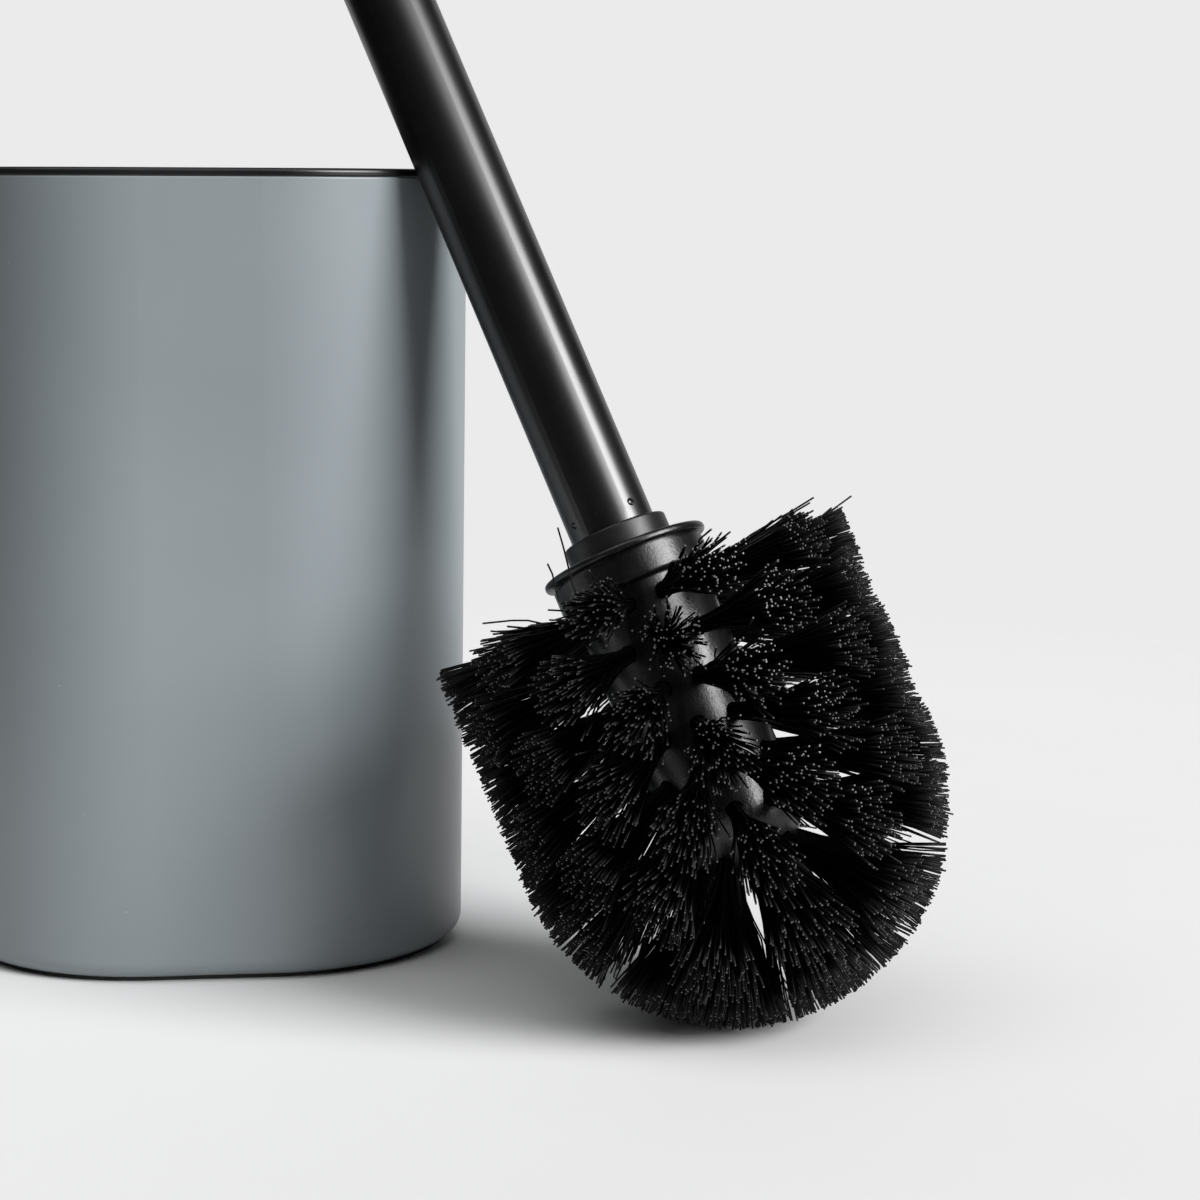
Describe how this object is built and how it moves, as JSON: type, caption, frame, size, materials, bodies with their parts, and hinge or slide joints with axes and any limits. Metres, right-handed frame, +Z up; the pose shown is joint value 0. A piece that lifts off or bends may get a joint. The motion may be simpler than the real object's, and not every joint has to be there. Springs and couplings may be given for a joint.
{
  "type": "toilet brush holder",
  "caption": "Rounded-square toilet brush canister with a lift-out liner, and a round-headed brush leaning on its rim.",
  "frame": {"origin": "middle of the canister's underside, on the standing surface", "axes": "+Z up; the canister's flat sides face X and Y; the brush stands beside its +X -Y corner"},
  "size_m": [0.1889, 0.178, 0.3692],
  "materials": {
    "shell_plastic": "satin blue-grey",
    "pad_rubber": "matte black",
    "liner_plastic": "satin black",
    "coated_tube": "satin black powder coat",
    "black_plastic": "satin black",
    "core_plastic": "fine moulded texture",
    "bristles": "black nylon filament",
    "staple_steel": "drawn wire"
  },
  "bodies": {
    "shell": {"outer_shell": "shell_plastic", "base_pad": "pad_rubber"},
    "liner": {"inner_liner": "liner_plastic"},
    "brush_handle": {"handle_tube": "coated_tube", "handle_cap": "black_plastic", "tube_plug": "black_plastic"},
    "collar": {"collar_ring": "black_plastic"},
    "head": {"brush_core": "core_plastic", "tufts_dome_lower": "bristles", "tufts_dome_upper": "bristles", "tufts_ring_1": "bristles", "tufts_ring_2": "bristles", "tufts_ring_3": "bristles", "tufts_ring_4": "bristles", "tufts_ring_5": "bristles", "tufts_ring_6": "bristles", "tufts_tip": "bristles", "anchors_dome_lower": "staple_steel", "anchors_dome_upper": "staple_steel", "anchors_ring_1": "staple_steel", "anchors_ring_2": "staple_steel", "anchors_ring_3": "staple_steel", "anchors_ring_4": "staple_steel", "anchors_ring_5": "staple_steel", "anchors_ring_6": "staple_steel", "anchors_tip": "staple_steel"}
  },
  "joints": [
    {"name": "liner_lift", "type": "slide", "parent": "shell", "child": "liner", "axis": [0, 0, 1], "range_m": [0, 0.17]},
    {"name": "brush_lift", "type": "slide", "parent": "liner", "child": "brush_handle", "axis": [0, 0, 1], "range_m": [0, 0.35]},
    {"name": "thread_travel", "type": "slide", "parent": "brush_handle", "child": "collar", "axis": [0.3529, -0.3016, -0.8857], "range_m": [0, 0.012]},
    {"name": "head_unscrew", "type": "hinge", "parent": "collar", "child": "head", "pos_m": [0.07819, -0.06983, 0.08455], "axis": [0.3529, -0.3016, -0.8857], "range_deg": [0, 1440]}
  ],
  "couplings": [
    {"joint": "thread_travel", "follows": "head_unscrew", "m_per_rad": 0.00047746}
  ]
}
